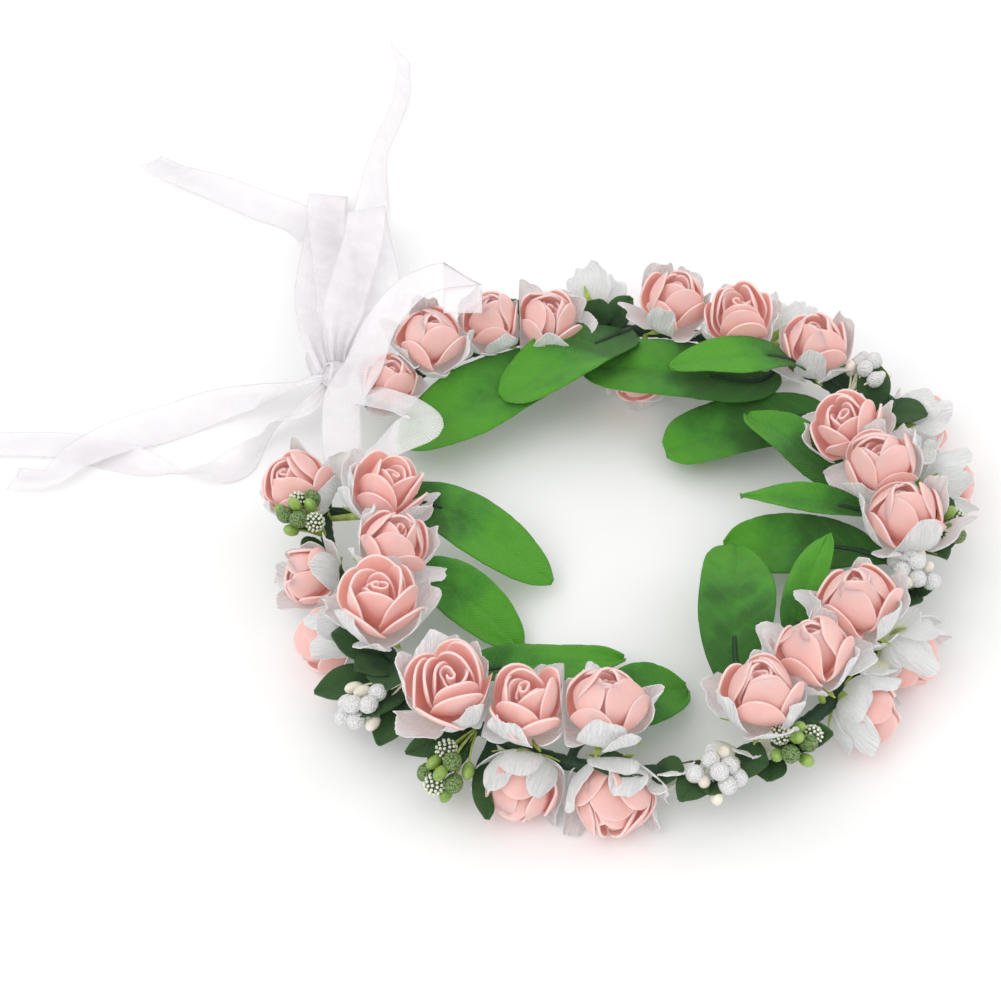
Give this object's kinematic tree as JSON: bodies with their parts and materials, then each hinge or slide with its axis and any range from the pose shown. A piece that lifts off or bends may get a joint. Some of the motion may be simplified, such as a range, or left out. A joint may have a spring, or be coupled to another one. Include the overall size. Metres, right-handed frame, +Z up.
{
  "type": "flower crown",
  "caption": "Hair garland: a taped wire hoop, open at the back, dressed with foam roses, fabric leaves and berry sprays, tied with a sheer ribbon bow.",
  "frame": {"origin": "on the table plane, in the middle of the head opening", "axes": "+Z up, away from the table the crown lies on; +Y towards the ribbon bow at the back of the head; -Y towards the forehead; +X to the right seen from above"},
  "size_m": [0.3554, 0.3518, 0.0464],
  "materials": {
    "wire": "thin dark green florist's wire",
    "tape": "waxed dark green crepe floral tape, wound in a spiral",
    "foam": "soft matt salmon pink foam sheet petals",
    "paper_petal": "white crinkled paper with fine ribs",
    "calyx": "yellow green calyx and stem",
    "leaf": "printed woven leaf, bright green with a dark blue-green base",
    "berry": "sugared and pearly berries, white and green",
    "ribbon": "sheer white organza with a crisp fine grid weave"
  },
  "bodies": {
    "crown": {"wire_hoop": "wire", "floral_tape_wrap": "tape", "ribbon_knot": "ribbon", "rose_01": "foam", "rose_02": "foam", "rose_03": "foam", "rose_04": "foam", "rose_05": "foam", "rose_06": "foam", "rose_07": "foam", "rose_08": "foam", "rose_09": "foam", "rose_10": "foam", "rose_11": "foam", "rose_12": "foam", "rose_13": "foam", "rose_14": "foam", "rose_15": "foam", "rose_16": "foam", "rose_17": "foam", "rose_18": "foam", "rose_19": "foam", "rose_20": "foam", "rose_21": "foam", "rose_22": "foam", "rose_23": "foam", "rose_24": "foam", "rose_25": "foam", "rose_26": "foam", "rose_27": "foam", "rose_28": "foam", "rose_29": "foam", "rose_30": "foam", "rose_31": "foam", "berry_spray_1": "berry", "berry_spray_2": "berry", "berry_spray_3": "berry", "berry_spray_4": "berry", "berry_spray_5": "berry", "leaf_01": "leaf", "leaf_02": "leaf", "leaf_03": "leaf", "leaf_04": "leaf", "leaf_05": "leaf", "leaf_06": "leaf", "leaf_07": "leaf", "leaf_08": "leaf", "leaf_09": "leaf", "leaf_10": "leaf", "leaf_11": "leaf", "leaf_12": "leaf", "leaf_13": "leaf", "leaf_14": "leaf", "ribbon_front_band": "ribbon"},
    "ribbon_bow": {"ribbon_loop_right": "ribbon", "ribbon_loop_left": "ribbon", "ribbon_tail_upper": "ribbon", "ribbon_tail_right": "ribbon", "ribbon_tail_lower": "ribbon", "ribbon_tail_twisted": "ribbon"}
  },
  "joints": [
    {"name": "ribbon_swing", "type": "hinge", "parent": "crown", "child": "ribbon_bow", "pos_m": [0.02, 0.108, 0.026], "axis": [1, 0, 0], "range_deg": [0, 80]}
  ]
}
